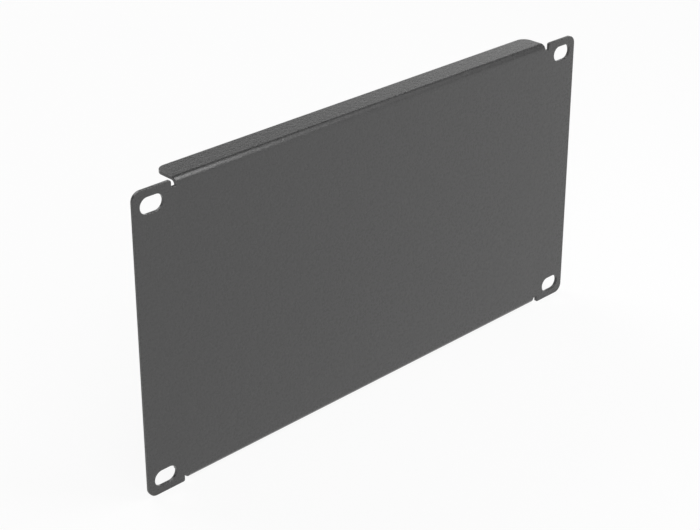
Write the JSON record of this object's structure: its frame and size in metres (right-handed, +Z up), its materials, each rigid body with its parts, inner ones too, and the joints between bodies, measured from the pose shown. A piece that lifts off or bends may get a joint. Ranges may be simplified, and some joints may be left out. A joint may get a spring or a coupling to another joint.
{
  "type": "rack blanking panel",
  "caption": "Folded sheet steel panel that closes an empty space at the front of a small equipment rack, with slotted ears and long edges bent back as stiffeners.",
  "frame": {"origin": "centre of the mounting slots, on the rear face of the ears", "axes": "+X along the width, +Y towards the back of the rack, +Z up as fixed in a rack"},
  "size_m": [0.254, 0.0135, 0.1326],
  "materials": {
    "powder_coat": "dark grey powder coat, fine texture, low sheen"
  },
  "bodies": {
    "root": {"blanking_panel": "powder_coat"}
  },
  "joints": []
}
